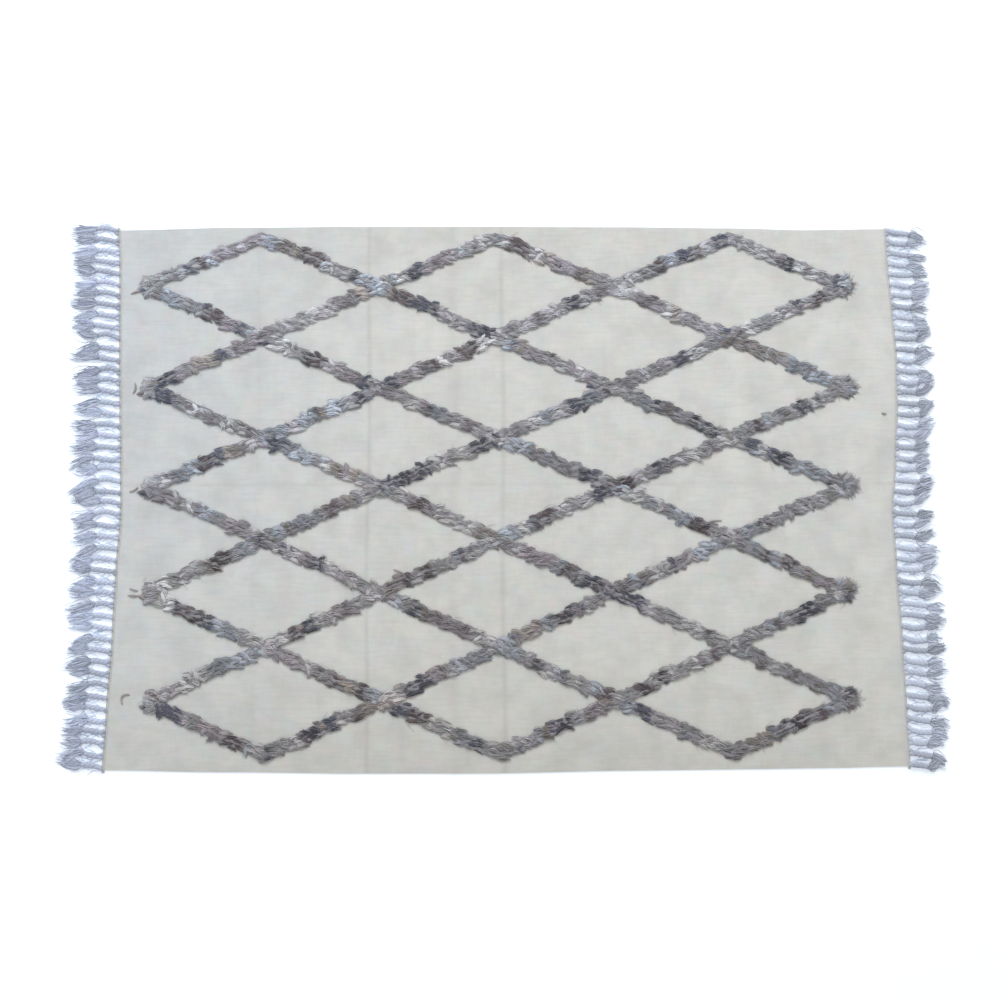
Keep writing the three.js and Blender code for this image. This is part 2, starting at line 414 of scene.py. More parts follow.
def yarns(pattern, routes, radii, dyes, flat=1.0, upward=(0, 0, 1)):
    """A batch of like yarns: their middle lines, and half thicknesses and colours along them. flat
    is the height of a yarn as a share of its width, and upward the way that its flat side faces."""
    ahead = unit(np.gradient(routes, axis=1))
    up = np.broadcast_to(np.array(upward, float), ahead.shape)
    up = unit(up - ahead * np.sum(up * ahead, axis=-1, keepdims=True))
    side = np.cross(up, ahead)
    ring = pattern.ring
    spread = pattern.cos[None, :, None] * side[:, ring] + flat * pattern.sin[None, :, None] * up[:, ring]
    step = np.linalg.norm(np.diff(routes, axis=1), axis=-1)
    run = np.concatenate([np.zeros((len(routes), 1)), np.cumsum(step, axis=1)], axis=1)
    return SimpleNamespace(
        pattern=pattern,
        count=len(routes),
        places=routes[:, ring] + radii[:, ring, None] * spread,
        dyes=np.broadcast_to(dyes if np.ndim(dyes) == 3 else dyes[:, None, :], routes.shape)[:, ring],
        run=run,
        skin=float(np.sum(run[:, -1] * radii.mean(axis=1))),
        slim=float(run[:, -1].mean() / (2 * math.pi * radii.mean())),
    )


def bake_patches(batch, low, high):
    """Where each corner of a batch lies in the bake map: one patch a yarn, in rows of equal ones."""
    pattern = batch.pattern
    columns = max(1, round(math.sqrt(batch.count * batch.slim / (high - low))))
    rows = math.ceil(batch.count / columns)
    number = np.arange(batch.count)
    share = pattern.ring[pattern.corners] / (pattern.rings - 1)
    u = (number[:, None] % columns + 0.08 + 0.84 * pattern.corner_turns / 1.2) / columns
    v = (number[:, None] // columns + 0.06 + 0.88 * share) / rows
    return np.stack([u, low + (high - low) * v], axis=-1)


def yarn_mesh(name, batches):
    """One mesh of all the yarns of a piece."""
    mesh = bpy.data.meshes.new(name)
    starts = np.cumsum([0] + [b.places.shape[0] * b.places.shape[1] for b in batches])
    mesh.vertices.add(int(starts[-1]))
    mesh.vertices.foreach_set("co", np.concatenate([b.places.ravel() for b in batches]))
    corners, sizes, colours, twists, patches = ([] for _ in range(5))
    skin = np.cumsum([0] + [b.skin for b in batches])
    for start, low, high, batch in zip(starts, skin / skin[-1], skin[1:] / skin[-1], batches):
        pattern = batch.pattern
        each = len(pattern.ring)
        corners.append((pattern.corners + each * np.arange(batch.count)[:, None]).ravel() + start)
        sizes.append(np.tile(pattern.face_sizes, batch.count))
        colours.append(np.concatenate([batch.dyes, np.ones((batch.count, each, 1))], axis=-1).ravel())
        along = batch.run[:, pattern.ring[pattern.corners]]
        turns = np.broadcast_to(pattern.corner_turns, along.shape)
        twists.append(np.stack([turns, along], axis=-1).ravel())
        patches.append(bake_patches(batch, low, high).ravel())
    corners = np.concatenate(corners)
    sizes = np.concatenate(sizes)
    mesh.loops.add(len(corners))
    mesh.loops.foreach_set("vertex_index", corners)
    mesh.polygons.add(len(sizes))
    mesh.polygons.foreach_set("loop_start", np.concatenate([[0], np.cumsum(sizes)[:-1]]))
    mesh.update(calc_edges=True)
    mesh.polygons.foreach_set("use_smooth", np.ones(len(sizes), bool))
    dye_layer = mesh.attributes.new("dye", "FLOAT_COLOR", "POINT")
    dye_layer.data.foreach_set("color", np.concatenate(colours))
    mesh.uv_layers.new(name="twist").data.foreach_set("uv", np.concatenate(twists))
    mesh.uv_layers.new(name="OFBake").data.foreach_set("uv", np.concatenate(patches))
    return mesh


def yarn_finish(name, roughness, sheen, ply_length, dark):
    """Two-ply yarn in its mesh's colour, with painted shade in its grooves and between fibres."""
    finish = Finish(name, roughness, sheen, 1.0)
    twist = finish.wire(finish.node("ShaderNodeUVMap", {"uv_map": "twist"}), "UV")
    around, along, _ = finish.parts(twist)
    colour = finish.wire(finish.node("ShaderNodeAttribute", {"attribute_name": "dye"}), "Color")
    place = finish.wire(finish.node("ShaderNodeTexCoord"), "Object")
    x, y, _ = finish.parts(place)
    fibres = finish.noise(finish.vector(around * 16, along * 90, (x + y) * 60), 1.0, 3.0, 0.7)
    clumps = finish.noise(place, 110.0, 2.0)
    ply = (around * 2 + along / ply_length).ridge()
    finish.bump(ply * 0.5 + fibres * 0.7, 0.6 * MM, 0.35)
    groove = finish.spread(ply + fibres * 0.6, 0.8, 0.1)
    # Painted shade: the dark colour laid into the grooves and between the fibres.
    colour = finish.mix(groove * 0.1, colour, dark)
    light = finish.mix(finish.spread(clumps, 0.3, 0.7), dye(168, 166, 168), dye(206, 208, 212))
    green = finish.spread(finish.noise(finish.shifted(place, 5.0, 2.0), 60.0, 3.0, 0.7), 0.3, 0.7)
    light = finish.mix(0.65, light, finish.mix(green, dye(178, 200, 180), dye(200, 178, 198)))
    colour = finish.mix(0.6, colour, light, "SOFT_LIGHT")
    finish.show("Base Color", colour)
    return finish.material


# Pile lattice. Locks of mixed grey wool are knotted round the warps in zigzag courses that meet as
# diamonds. Each lock arches over to the right and lies on the next, and its end points a little
# towards the near side.
PILE_SEED = 11
GROUND_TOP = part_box("ground")[1][2]
LATTICE_COLUMNS = 6
LATTICE_ROWS = {
    "y": [0.672, 0.541, 0.405, 0.271, 0.139, 0.014, -0.121, -0.255, -0.392, -0.526, -0.657],
    "left": [-0.936, -0.932, -0.928, -0.923, -0.918, -0.912, -0.908, -0.905, -0.900, -0.896, -0.894],
    "right": [0.884, 0.880, 0.878, 0.876, 0.873, 0.870, 0.862, 0.855, 0.852, 0.852, 0.850],
}
COURSES_PER_PIECE = 2
BAND = SimpleNamespace(
    half=25.6 * MM, lock_step=7 * MM, reach=15.5 * MM, root_tall=0.6 * MM, ragged=0.06, fine_notch=131,
    broad_notch=53, crown=[(0, 1.0), (0.5, 0.94), (1, 0.55), (1.3, 0.15)],
)
BAND_SWAYS = [
    {"wave": 0.190, "sway": 2.0 * MM, "shift": 1.7},
    {"wave": 0.083, "sway": 1.2 * MM, "shift": 2.9},
]

# What is known of a lock; the centre and the slope are those of its band there.
LOCK_FACTS = "x y turn bend wool layer tone size centre_x centre_y slope".split()
LOCK = SimpleNamespace(
    half=6.8 * MM, long=35 * MM, tall=7.8 * MM, size=(0.75, 1.2),
    width=[(0, 0.55), (0.3, 1.0), (0.65, 1.0), (1, 0.75)],
    arch=[(0, 0.25), (0.25, 0.9), (0.6, 1.0), (1, 0.6)],
)
LEANS = {"rising": {"turn": -2, "bend": 46}, "falling": {"turn": -14, "bend": 36}}
BEND_SPREAD = 18
TURN_KEPT = 0.5
TURN_SPREAD = 16
ASTRAY = {"share": 0.1, "degrees": 50}
ACROSS_STEP = 0.618
ACROSS_SPREAD = 0.12
STRAY_LOCKS = 0.03

# The locks at the two ends of a course, in millimetres off the line of its corner and behind it.
BLUNT_END = SimpleNamespace(
    outs=[-18, -14, -10, -6, -2, 2, 6, 10, 14, 18], back=(6, 13), round=0.3, fan=-0.012,
    bend=0.5, darker=0.2, size=1.2, layer=1.0,
)
RAGGED_END = SimpleNamespace(
    outs=[-20, -15, -11, -7, -3, 0, 3, 7, 11, 15, 20], back=(-8, 12), round=-0.5, fan=0.03,
    bend=0.2, darker=0.0, size=None, layer=0.5,
)
END_TURN_SPREAD = 0.25
END_SIZES = (0.7, 1.1)

# The basket of wools, with each one's share of the locks. Tones are natural logarithms.
WOOLS = [
    {"dye": dye(191, 191, 192), "share": 0.24},
    {"dye": dye(170, 177, 187), "share": 0.17},
    {"dye": dye(176, 174, 178), "share": 0.20},
    {"dye": dye(82, 85, 100), "share": 0.11},
    {"dye": dye(97, 87, 91), "share": 0.10},
    {"dye": dye(154, 147, 153), "share": 0.12},
    {"dye": dye(158, 150, 145), "share": 0.06},
]
WOOL_KEPT = 0.72
WOOL_MIXED = 0.06
WOOL_BLENDED = 0.5
NEIGHBOURS = 2
TONE_KEPT = 0.7
TONE_SPREAD = 0.27
TONE_RANGE = (-0.7, 0.3)

# shade is painted shade along a pad or yarn, from its root to its tip.
PADS = SimpleNamespace(
    tube=tube_pattern(6, 5), width=[(0, 0.5), (0.25, 1.0), (0.7, 0.95), (1, 0.5)],
    shade=[(0, 0.88), (0.3, 1.0), (0.7, 1.0), (1, 0.95)], flat=0.45,
)
YARNS = SimpleNamespace(
    tube=tube_pattern(3, 4), each=7, radius=1.35 * MM, first=(-0.05, 0.35), last=(0.75, 1.15),
    width=[(0, 0.6), (0.25, 1.0), (0.7, 1.0), (1, 0.4)],
    shade=[(0, 0.9), (0.25, 1.0), (0.6, 1.04), (1, 0.94)], wander=0.2,
)
HAIRS = SimpleNamespace(tube=tube_pattern(3, 3), each=2, radius=0.5 * MM, out=1.5, wander=5.5 * MM)
TIPS = SimpleNamespace(
    each=110, half=17 * MM, long=40 * MM, radius=0.8 * MM, fan=0.5, curl=0.35, back=(-26 * MM, 2 * MM),
    tone=(0.5, 1.1), dye=dye(156, 153, 159),
)
# The knots under the locks, dyed dark as painted shade in the gaps between them.
BED = SimpleNamespace(
    tube=tube_pattern(6, 16), lap=0.02, outs=(-10, 0, 10), stray=1.2 * MM, radius=7.5 * MM, flat=0.36,
    dye=dye(140, 138, 143),
)
TAIL = SimpleNamespace(tube=tube_pattern(5, 12), stray=0.9 * MM, radius=1.8 * MM, dye=dye(172, 166, 165))

# Untrimmed ends and one fleck. Each runs from its first place by its second to its third.
TAILS = [
    [(-0.936, 0.528), (-0.952, 0.528), (-0.967, 0.521)],
    [(-0.951, 0.284), (-0.944, 0.271), (-0.954, 0.256)],
    [(-0.934, 0.014), (-0.943, 0.004), (-0.956, 0.003)],
    [(-0.926, -0.250), (-0.938, -0.246), (-0.948, -0.243)],
    [(-0.926, -0.259), (-0.940, -0.264), (-0.950, -0.260)],
    [(-0.940, -0.509), (-0.966, -0.503), (-0.955, -0.534)],
    [(0.500, -0.088), (0.512, -0.072), (0.546, -0.075)],
    [(-0.246, -0.217), (-0.262, -0.204), (-0.287, -0.198)],
    [(0.9655, 0.2030), (0.970, 0.2025), (0.9750, 0.2020)],
]


def lattice_corner(column, row):
    y, left, right = (LATTICE_ROWS[k][row] for k in ("y", "left", "right"))
    share = column / LATTICE_COLUMNS
    return np.array([left * (1 - share) + right * share, y])


def course_corners(course):
    columns = range(LATTICE_COLUMNS + 1)
    return [lattice_corner(c, course if (c + course) % 2 == 1 else course + 1) for c in columns]


def band_sway(course, x):
    """How far a hand-knotted band strays across the rug from its straight line."""
    return sum(s["sway"] * np.sin(2 * math.pi * x / s["wave"] + course * s["shift"]) for s in BAND_SWAYS)


def pick_wool(draw, kept):
    """The wool of the next lock: mostly the last one's, else another from the basket."""
    if kept is not None and draw.random() < WOOL_KEPT:
        return kept
    return draw.choice(len(WOOLS), p=[w["share"] for w in WOOLS])


def course_locks(course, draw):
    """A course's locks from left to right, and those at its two ends."""
    rows = []
    wool = None
    drift = 0.0
    tone = 0.0
    corners = course_corners(course)
    for start, end in zip(corners, corners[1:]):
        lean = LEANS["rising" if end[1] > start[1] else "falling"]
        run = end - start
        count = round(np.linalg.norm(run) / BAND.lock_step)
        normal = np.array([-run[1], run[0]]) / np.linalg.norm(run)
        for number in range(count):
            share = (number + draw.uniform(0.1, 0.9)) / count
            centre = start + run * share
            centre[1] += band_sway(course, centre[0])
            across = number * ACROSS_STEP % 1 * 2 - 1 + draw.normal() * ACROSS_SPREAD
            middle = centre + normal * across * BAND.reach
            drift = TURN_KEPT * drift + draw.normal() * TURN_SPREAD
            tone = np.clip(TONE_KEPT * tone + draw.normal() * TONE_SPREAD, *TONE_RANGE)
            astray = draw.normal() * ASTRAY["degrees"] if draw.random() < ASTRAY["share"] else 0
            turn = math.radians(lean["turn"] + drift + astray)
            bend = math.radians(lean["bend"] + draw.normal() * BEND_SPREAD)
            wool = pick_wool(draw, wool)
            size = draw.uniform(*LOCK.size)
            free = draw.random() < STRAY_LOCKS
            centre = middle if free else centre
            rows.append((*middle, turn, bend, wool, draw.random(), tone, size, *centre, run[1] / run[0]))
    for corner, end in ((corners[0], BLUNT_END), (corners[-1], RAGGED_END)):
        for out in end.outs:
            wool = pick_wool(draw, wool)
            middle = corner + np.array([draw.uniform(*end.back) + abs(out) * end.round, out]) * MM
            turn = draw.normal() * END_TURN_SPREAD + out * end.fan
            tone = draw.normal() * TONE_SPREAD - end.darker
            size = end.size or draw.uniform(*END_SIZES)
            rows.append((*middle, turn, end.bend, wool, draw.random() * end.layer, tone, size, *middle, 0))
    return np.array(rows, dtype=[(fact, float) for fact in LOCK_FACTS])


def lock_lines(locks, place, share, margin, stray):
    """Lines that follow the locks' own arches. place is how far each lies beside the middle of its
    lock, from -1 to 1, and share how far along the lock each of its points is, from 0 to 1. The
    lines keep the margin from the band's edge, or pass it by a share of up to stray."""
    lock = SimpleNamespace(**{fact: locks[fact][:, None] for fact in LOCK_FACTS})
    long = LOCK.long * lock.size
    heading = lock.turn + lock.bend * (0.5 - share)
    line_x = lock.x + long * (np.sin(lock.turn) - np.sin(heading)) / lock.bend
    line_y = lock.y + long * (np.cos(heading) - np.cos(lock.turn)) / lock.bend
    out = LOCK.half * lock.size * place * profile(share, LOCK.width)
    line_x = line_x - np.sin(heading) * out
    line_y = line_y + np.cos(heading) * out
    middle_y = lock.centre_y + (line_x - lock.centre_x) * lock.slope
    notches = np.sin(line_x * BAND.fine_notch + lock.turn)
    notches = notches + np.sin(line_x * BAND.broad_notch + 7 * lock.slope)
    half = (BAND.half - margin) * np.hypot(1, lock.slope) * (1 + BAND.ragged * notches)
    off = np.abs(line_y - middle_y) / half
    held = profile(off, [(0, 0), (0.75, 0.75), (1.4, 1.0 + 0.3 * stray), (3, 1.0 + stray)])
    line_y = middle_y + np.sign(line_y - middle_y) * held * half
    crown = profile(held * half, [(out_from * BAND.half, tall) for out_from, tall in BAND.crown])
    dome = 1 - 0.4 * np.minimum(place**2, 1)
    rise = LOCK.tall * (0.5 + 0.5 * lock.layer) * dome * profile(share, LOCK.arch) * crown
    return line_x, line_y, GROUND_TOP + BAND.root_tall + rise


def bell(place, middle, reach):
    return np.exp(-(((place - middle) / reach) ** 2))


def colour_drift(x, y):
    """How the pile's colours change over the rug, as shares of red, green and blue. They are paler
    towards the far side and the left, colder towards the far left and warmer a little left of the middle."""
    left = bell(x, -0.9, 0.2)
    tone = 0.28 * y - 0.16 * x - 0.22 * y * left
    cold = 0.045 * y + 0.03 * (0.6 + y) * left - 0.02 * bell(x, -0.25, 0.25)
    return np.exp(tone[:, None] + np.outer(cold, [-1, 0, 1]))


def lock_dyes(locks, each, share, draw):
    """The colours of lines in the locks, each of them in as many lines. A lock's own wool blends
    into the wool of the locks before and after it; here and there a line is of a neighbour's."""
    basket = np.array([w["dye"][:3] for w in WOOLS])
    mottle = basket[locks["wool"].astype(int)] * np.exp(locks["tone"][:, None])
    mottle = mottle * colour_drift(locks["centre_x"], locks["centre_y"])
    number = np.repeat(np.arange(len(locks)), each)
    last = len(locks) - 1
    strays = draw.random(len(number)) < WOOL_MIXED
    moved = number + draw.integers(-NEIGHBOURS, NEIGHBOURS + 1, len(number))
    number = np.clip(np.where(strays, moved, number), 0, last)
    reach = (share - 0.5) * LOCK.long / BAND.lock_step
    place = np.clip(number[:, None] + reach, 0, last)
    before = np.floor(place).astype(int)
    after = np.minimum(before + 1, last)
    step = (place - before)[:, :, None]
    blend = mottle[before] * (1 - step) + mottle[after] * step
    return blend * WOOL_BLENDED + mottle[number][:, None] * (1 - WOOL_BLENDED)


def pile_pads(locks, draw):
    """The locks' soft bodies: broad, flat and blunt, lying over one another like shingles."""
    each = (len(locks), 1)
    spin = np.linspace(0, 1, PADS.tube.rings)
    share = draw.uniform(0.0, 0.08, each) * (1 - spin) + draw.uniform(0.85, 1.0, each) * spin
    radii = LOCK.half * locks["size"][:, None] * profile(spin, PADS.width)
    x, y, z = lock_lines(locks, np.zeros(each), share, radii * 0.85, 0.05)
    z = np.maximum(z - PADS.flat * radii - 0.5 * MM, GROUND_TOP + PADS.flat * radii + 0.2 * MM)
    # Painted shade: each pad darker at its root and a little at its tip.
    dyes = lock_dyes(locks, 1, share, draw) * profile(spin, PADS.shade)[:, None]
    return yarns(PADS.tube, line(x, y, z), radii, dyes, flat=PADS.flat)


def pile_yarns(locks, draw):
    """The locks' thin soft yarns, spread over the lock, with ends of any length."""
    bases = locks
    locks = np.repeat(locks, YARNS.each)
    each = (len(locks), 1)
    spin = np.linspace(0, 1, YARNS.tube.rings)
    place = draw.uniform(-1.05, 1.05, each)
    first = draw.uniform(*YARNS.first, each)
    last = draw.uniform(*YARNS.last, each) - 0.1 * np.abs(place)
    share = first + (last - first) * spin
    sway = draw.normal(0, YARNS.wander, each) * np.sin(spin * 5 + draw.uniform(0, 6, each))
    place = place + draw.normal(0, YARNS.wander, each) * spin + sway
    x, y, z = lock_lines(locks, place, share, 2 * MM, 0.55)
    radii = profile(spin, YARNS.width) * draw.uniform(0.75, 1.2, each) * YARNS.radius
    z = z + radii * draw.uniform(-0.3, 0.7, each)
    # Painted shade at each yarn's root and tip, and a painted highlight where its arch is highest.
    shade = profile(share, YARNS.shade)[:, :, None]
    dyes = lock_dyes(bases, YARNS.each, share, draw) * shade * draw.uniform(0.97, 1.03, (*each, 1))
    return yarns(YARNS.tube, line(x, y, z), radii, dyes)


def pile_hairs(locks, draw):
    """Fine fibres that have worked loose, lying on the locks and across their rims."""
    bases = locks
    locks = np.repeat(locks, HAIRS.each)
    each = (len(locks), 1)
    first = draw.uniform(-0.1, 0.75, each)
    spin = np.linspace(0, 1, HAIRS.tube.rings)
    share = first + draw.uniform(0.2, 0.55, each) * spin
    place = draw.uniform(-HAIRS.out, HAIRS.out, each)
    x, y, z = lock_lines(locks, place, share, 0.0, 0.8)
    x = x + draw.normal(0, 0.4 * HAIRS.wander, each) * spin
    y = y + draw.normal(0, HAIRS.wander, each) * spin
    z = z + draw.uniform(0.8 * MM, 2.4 * MM, each) * profile(spin, [(0, 0.9), (0.5, 1.1), (1, 0.7)])
    radii = HAIRS.radius * np.linspace(1, 0.5, HAIRS.tube.rings) * np.ones(each)
    dyes = lock_dyes(bases, HAIRS.each, share, draw) * draw.uniform(0.92, 1.12, (*each, 1))
    return yarns(HAIRS.tube, line(x, y, z), radii, dyes)


def ragged_tips(courses, draw):
    """Long thin tips that fan out over the ground from a course's last corner."""
    corners = np.repeat([course_corners(c)[-1] for c in courses], TIPS.each, axis=0)
    each = (len(corners), 1)
    spin = np.linspace(0, 1, YARNS.tube.rings)
    out = draw.uniform(-1, 1, each)
    heading = out * TIPS.fan + draw.normal(0, 0.2, each) + draw.normal(0, TIPS.curl, each) * spin
    long = TIPS.long * draw.uniform(0.45, 1.1, each) * (1.1 - 0.45 * np.abs(out))
    back = draw.uniform(*TIPS.back, each) - np.abs(out) * 6 * MM
    x = corners[:, :1] + back + long * spin * np.cos(heading)
    y = corners[:, 1:] + out * TIPS.half + long * spin * np.sin(heading)
    z = GROUND_TOP + profile(spin, [(0, 5.5), (0.5, 5.0), (1, 1.4)]) * draw.uniform(0.6, 1.1, each) * MM
    radii = TIPS.radius * profile(spin, [(0, 1.0), (0.3, 1.0), (1, 0.35)]) * np.ones(each)
    tone = np.repeat(draw.uniform(*TIPS.tone, len(courses)), TIPS.each)[:, None]
    dyes = np.array([TIPS.dye[:3]]) * tone * draw.uniform(0.8, 1.25, each)
    return yarns(YARNS.tube, line(x, y, z), radii, dyes)


def pile_bed(courses, draw):
    """The knots themselves: a low bed under the locks, as broad flat yarn along each band, dyed dark as
    painted shade in the gaps.
    """
    routes = []
    rings = BED.tube.rings
    for course in courses:
        corners = course_corners(course)
        for start, end in zip(corners, corners[1:]):
            run = end - start
            normal = np.array([-run[1], run[0]]) / np.linalg.norm(run)
            first = 0.06 if start is corners[0] else -BED.lap
            last = 0.95 if end is corners[-1] else 1 + BED.lap
            share = np.linspace(first, last, rings)[:, None]
            for out in BED.outs:
                places = start + run * share + normal * (out * MM + draw.normal(0, BED.stray, (rings, 1)))
                places[:, 1] += band_sway(course, places[:, 0])
                z = GROUND_TOP + (3.6 - abs(out) * 0.05) * MM
                routes.append(np.concatenate([places, np.full((rings, 1), z)], axis=1))
    routes = np.array(routes)
    radii = BED.radius * draw.uniform(0.85, 1.1, routes.shape[:2])
    dyes = np.array([BED.dye[:3]]) * draw.uniform(0.8, 1.2, (len(routes), 1))
    return yarns(BED.tube, routes, radii, dyes, flat=BED.flat)


def loose_tails(draw):
    """Ends that were never trimmed, lying on the ground beside the lattice."""
    share = np.linspace(0, 1, TAIL.tube.rings)[:, None]
    routes = []
    for tail in TAILS:
        for _ in range(2):
            near, over, far = (np.array(place) + draw.normal(0, TAIL.stray, 2) for place in tail)
            places = near * (1 - share) ** 2 + 2 * over * share * (1 - share) + far * share**2
            z = GROUND_TOP + (1.3 + 2.2 * np.sin(share * math.pi)) * MM
            routes.append(np.concatenate([places, z], axis=1))
    routes = np.array(routes)
    width = profile(share[:, 0], [(0, 0.7), (0.2, 1), (0.7, 1), (1, 0.5)])
    radii = TAIL.radius * width * np.ones((len(routes), 1))
    dyes = np.array([TAIL.dye[:3]]) * draw.uniform(0.85, 1.1, (len(routes), 1))
    return yarns(TAIL.tube, routes, radii, dyes)


# The last colour of each yarn finish is the painted shade in its grooves.
pile_wool = yarn_finish("pile_wool", 0.95, 0.5, 14 * MM, dye(60, 58, 64))
pile_draw = np.random.default_rng(PILE_SEED)
for first in range(0, len(LATTICE_ROWS["y"]) - 1, COURSES_PER_PIECE):
    courses = range(first, first + COURSES_PER_PIECE)
    pile_locks = np.concatenate([course_locks(c, pile_draw) for c in courses])
    batches = [
        pile_pads(pile_locks, pile_draw),
        pile_yarns(pile_locks, pile_draw),
        pile_hairs(pile_locks, pile_draw),
        ragged_tips(courses, pile_draw),
        pile_bed(courses, pile_draw),
    ]
    pile_mesh = yarn_mesh(f"pile_courses_{first // COURSES_PER_PIECE + 1}", batches)
    add_piece(pile_mesh, "pile_wool", pile_wool, "pile_lattice")
tails_mesh = yarn_mesh("pile_tails", [loose_tails(pile_draw)])
add_piece(tails_mesh, "pile_wool", pile_wool, "pile_lattice")


# Fringes. Behind a heading of three thick wefts the warp ends are plied into cords, a bundle each,
# tied in an overhand knot and left to fray; neighbouring cords lean together two or three at a time.
# ENDS says how many millimetres the warp ends stand out at each end of the rug.
FRINGE_SEED = 5
ENDS = {
    "y": [-0.700, -0.560, -0.380, -0.200, -0.060, 0.080, 0.230, 0.350, 0.480, 0.600, 0.700],
    "left": [103, 107, 104, 112, 116, 120, 117, 118, 119, 114, 126],
    "right": [80, 98, 104, 104, 100, 90, 90, 90, 93, 97, 95],
}
RUG_ENDS = [
    SimpleNamespace(name="left", side=-1, knot_at=0.45, girth=1.0, arch=7 * MM, dye=dye(204, 212, 229)),
    SimpleNamespace(name="right", side=1, knot_at=0.53, girth=1.1, arch=-5 * MM, dye=dye(199, 206, 219)),
]
CLOTH_EDGES = outline_of("ground")
BUNDLES = [2, 3, 2, 1, 2, 2, 3, 2, 3, 1]
FRINGE = SimpleNamespace(
    strands=49, half=0.688, uneven=0.07, lean=8.4 * MM, sway=9 * MM, sway_wave=0.210, stray=1.5 * MM,
    knot_stray=(-0.08, 0.06), bow=2.2 * MM, arch_long=0.85, tone=(0.86, 1.12), gather=4 * MM, hook=6 * MM,
)
CORD = SimpleNamespace(
    tube=tube_pattern(5, 13), plies=3, radius=4.7 * MM, flat=0.75, turn=2.9 * MM, twist=34 * MM,
    splay=4.8 * MM, splay_long=0.1,
)
KNOT = SimpleNamespace(tube=tube_pattern(5, 12), turns=1.6, radius=3.8 * MM, yarn=2.4 * MM, long=7 * MM)

# What frays beyond the knots. open is how far its lines have fanned out along their run.
SWELL = SimpleNamespace(
    tube=tube_pattern(8, 7), each=2, half=6.2 * MM, flat=0.45, under=0.02, spread=6 * MM, fan=(0.4, 1.3),
    open=[(0, 0.2), (0.4, 0.9), (1, 1)], wave=3 * MM, waves=(1.2, 2.2), tone=(0.9, 1.02),
)
PLIES = SimpleNamespace(
    tube=tube_pattern(5, 9), each=2, radius=2.6 * MM, under=0.02, spread=11 * MM, fan=(0.3, 1.2),
    open=[(0, 0.15), (0.35, 0.8), (1, 1)], wave=3.0 * MM, waves=(1.2, 2.4), tone=(0.94, 1.06),
)
TUFT = SimpleNamespace(
    tube=tube_pattern(3, 5), each=24, radius=1.3 * MM, under=0.0, spread=17 * MM, fan=0.5,
    open=[(0, 0), (0.3, 0.8), (0.65, 0.9), (1, 0.7)], astray={"share": 0.3, "fan": 1.6}, wave=2.5 * MM,
    waves=1.8, root_tall=7.5 * MM, tall=6.5 * MM, sink=0.55, tone=(0.94, 1.06),
)
# Loose fibre on the floor between the cords, dyed light blue as painted shade of the floor there.
FLUFF_AND_GAP_SHADE = SimpleNamespace(
    tube=tube_pattern(3, 4), each=16, long=34 * MM, radius=0.95 * MM, flat=0.6, turn=0.25, curl=0.4,
    spread=12 * MM, dye=dye(212, 228, 247),
)
HEADING = SimpleNamespace(
    tube=tube_pattern(5, 175), picks=3, wide=8.3 * MM, radius=1.45 * MM, space=2.55 * MM, tall=1.75 * MM,
    uneven=0.1 * MM, dye=dye(216, 216, 213),
)


def heading_edge(side, y):
    """How far out the heading reaches, which is where the fringe is rooted."""
    edge = CLOTH_EDGES.left if side < 0 else CLOTH_EDGES.right
    return edge(y) + side * HEADING.wide


def bundle_leans():
    """How far each cord leans over to the middle of its bundle."""
    leans = []
    while len(leans) < FRINGE.strands:
        for size in BUNDLES:
            leans += [((size - 1) / 2 - number) * FRINGE.lean for number in range(size)]
    return np.array(leans[: FRINGE.strands])


def warp_ends(rug_end, draw):
    """The warp ends of one end of the rug: their roots, lengths, leans, knots, bows and tones."""
    count = FRINGE.strands
    number = np.arange(count)
    y = np.linspace(-FRINGE.half, FRINGE.half, count)
    lean = bundle_leans()
    long = np.interp(y, ENDS["y"], np.array(ENDS[rug_end.name]) * MM)
    long = long * (1 + draw.uniform(-FRINGE.uneven, FRINGE.uneven, count))
    drift = lean + FRINGE.sway * np.sin(y / FRINGE.sway_wave + rug_end.side)
    return SimpleNamespace(
        number=number,
        side=rug_end.side,
        girth=rug_end.girth,
        arch=rug_end.arch,
        wool=np.array(rug_end.dye[:3]),
        x=heading_edge(rug_end.side, y),
        y=y,
        long=long,
        drift=drift + draw.normal(0, FRINGE.stray, count),
        knot_at=rug_end.knot_at + draw.uniform(*FRINGE.knot_stray, count),
        bow=draw.normal(0, FRINGE.bow, count),
        tone=draw.uniform(*FRINGE.tone, count),
        hook=np.sign(lean) * FRINGE.gather + draw.normal(0, FRINGE.hook, count),
    )


def warp_places(ends, picked, share):
    """Places on the middle lines of the picked warp ends, at a share of their length from the root."""
    x = ends.x[picked, None] + ends.side * share * ends.long[picked, None]
    bow = ends.bow[picked, None] * np.sin(np.clip(share / ends.knot_at[picked, None], 0, 2) * math.pi)
    arch = ends.arch * np.sin(np.clip(share / FRINGE.arch_long, 0, 1) * math.pi)
    y = ends.y[picked, None] + ends.drift[picked, None] * share**2 + (bow + arch)
    return x, y


def frayed_places(ends, kind, picked, share, reach, fan, wave):
    """Places on lines that run on beyond the knots, fan out and wave, and hook over at their ends."""
    start = ends.knot_at[picked, None] - kind.under
    x, y = warp_places(ends, picked, start + (1 - start) * share * reach)
    y = y + kind.spread * fan * profile(share, kind.open) + wave
    return x, y + ends.hook[picked, None] * share**1.5


def frayed_wave(kind, share, each, draw):
    tall = draw.normal(0, kind.wave, each)
    return tall * np.sin(share * math.pi * draw.uniform(*kind.waves, each))


def frayed_fan(kind, each, draw):
    """Which way each line fans out, from side to side over the lines of one warp end."""
    return np.tile(np.linspace(-1, 1, kind.each), FRINGE.strands)[:, None] * draw.uniform(*kind.fan, each)


def frayed_dyes(ends, kind, picked, draw):
    return ends.wool * ends.tone[picked][:, None] * draw.uniform(*kind.tone, (len(picked), 1))


